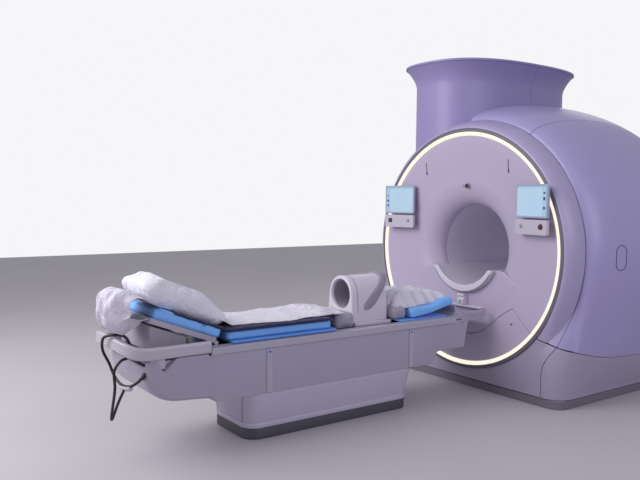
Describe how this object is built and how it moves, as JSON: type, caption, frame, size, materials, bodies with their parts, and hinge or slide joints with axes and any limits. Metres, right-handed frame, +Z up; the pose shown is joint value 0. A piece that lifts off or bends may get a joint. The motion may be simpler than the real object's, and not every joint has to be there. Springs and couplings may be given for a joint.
{
  "type": "mri scanner",
  "caption": "Closed-bore magnetic resonance scanner with a ring-lit front, ceiling shroud and a lifting patient table carrying pads, linen and a head coil",
  "frame": {"origin": "floor point straight below the magnet's centre, on the underside of the gantry's plinth", "axes": "+Z up, +Y along the bore from the table to the gantry's rear, +X to the right when facing the gantry from the table"},
  "size_m": [2.38, 4.6285, 2.62],
  "materials": {
    "plinth": "matt dark grey",
    "cover_base": "satin warm grey-white",
    "cover_body": "satin warm grey-white",
    "cover_front": "satin grey-white",
    "light": "lit diffuser",
    "liner": "matt",
    "coil_winding": "cast resin",
    "vessel_steel": "brushed",
    "latch_grey": "satin",
    "shroud": "satin",
    "display_grey": "satin",
    "screen": "glossy",
    "button_grey": "satin",
    "button_stop": "satin",
    "table_cover": "satin grey-white",
    "lift_steel": "brushed",
    "handle": "satin",
    "tabletop": "satin",
    "pad_blue": "coated cloth",
    "sheet_navy": "cotton",
    "linen": "cotton",
    "frame_white": "satin",
    "foam_grey": "matt foam skin",
    "coil_white": "satin",
    "cable_black": "matt",
    "sleeve_grey": "matt"
  },
  "bodies": {
    "gantry_and_base": {"gantry_plinth": "plinth", "base_cover_front": "cover_base", "base_cover_left": "cover_base", "base_cover_right": "cover_base", "side_cover_left": "cover_body", "side_cover_right": "cover_body", "top_cover": "cover_body", "front_surround": "cover_body", "front_panel": "cover_front", "lower_front_panel": "cover_front", "light_ring_upper": "light", "light_ring_lower": "light", "rear_panel": "cover_body", "bore_liner": "liner", "gradient_coil": "coil_winding", "magnet_vessel": "vessel_steel", "vent_pipe": "vessel_steel", "bridge": "liner", "docking_latch": "latch_grey", "shroud_front": "shroud", "shroud_rear": "shroud", "shroud_flange": "shroud", "display_housing_left": "display_grey", "display_screen_left": "screen", "control_box_left": "display_grey", "display_housing_right": "display_grey", "display_screen_right": "screen", "control_box_right": "display_grey", "table_plinth": "plinth", "lower_cover": "table_cover", "lift_column": "lift_steel"},
    "lift_middle": {"mid_column": "lift_steel", "middle_shroud": "table_cover"},
    "lift_frame": {"lift_ram": "lift_steel", "upper_cover": "table_cover", "end_cover": "table_cover", "nose_cover": "table_cover", "corner_strips": "table_cover", "side_rails": "handle", "end_handle": "handle", "handle_cables": "cable_black", "cable_sleeve": "sleeve_grey"},
    "tabletop": {"tabletop": "tabletop", "under_mat": "pad_blue", "seat_mattress": "pad_blue", "fitted_sheet": "sheet_navy", "backrest_frame": "frame_white", "backrest_pad": "pad_blue", "foot_box": "foam_grey", "pillow": "linen", "hanging_sheet": "linen", "coil_base": "coil_white", "coil_shell": "coil_white", "coil_pads": "foam_grey", "leg_pad": "pad_blue", "linen_pile": "linen"},
    "push_button_left_body": {"push_button_left": "button_grey"},
    "push_button_right_body": {"push_button_right": "button_grey"},
    "stop_button_left_body": {"stop_button_left": "button_stop"},
    "stop_button_right_body": {"stop_button_right": "button_stop"}
  },
  "joints": [
    {"name": "table_lift", "type": "slide", "parent": "gantry_and_base", "child": "lift_frame", "axis": [0, 0, 1], "range_m": [0, 0.37]},
    {"name": "middle_lift", "type": "slide", "parent": "gantry_and_base", "child": "lift_middle", "axis": [0, 0, 1], "range_m": [0, 0.185]},
    {"name": "tabletop_slide", "type": "slide", "parent": "lift_frame", "child": "tabletop", "axis": [0, 1, 0], "range_m": [0, 0.28]},
    {"name": "push_button_left_press", "type": "slide", "parent": "gantry_and_base", "child": "push_button_left_body", "axis": [-0.1564, 0.9877, 0], "range_m": [0, 0.004], "stiffness_N_per_m": 400, "springref_m": -0.002},
    {"name": "push_button_right_press", "type": "slide", "parent": "gantry_and_base", "child": "push_button_right_body", "axis": [0.1564, 0.9877, 0], "range_m": [0, 0.004], "stiffness_N_per_m": 400, "springref_m": -0.002},
    {"name": "stop_button_left_press", "type": "slide", "parent": "gantry_and_base", "child": "stop_button_left_body", "axis": [-0.1564, 0.9877, 0], "range_m": [0, 0.004], "stiffness_N_per_m": 400, "springref_m": -0.002},
    {"name": "stop_button_right_press", "type": "slide", "parent": "gantry_and_base", "child": "stop_button_right_body", "axis": [0.1564, 0.9877, 0], "range_m": [0, 0.004], "stiffness_N_per_m": 400, "springref_m": -0.002}
  ],
  "couplings": [
    {"joint": "middle_lift", "follows": "table_lift", "ratio": 0.5}
  ]
}
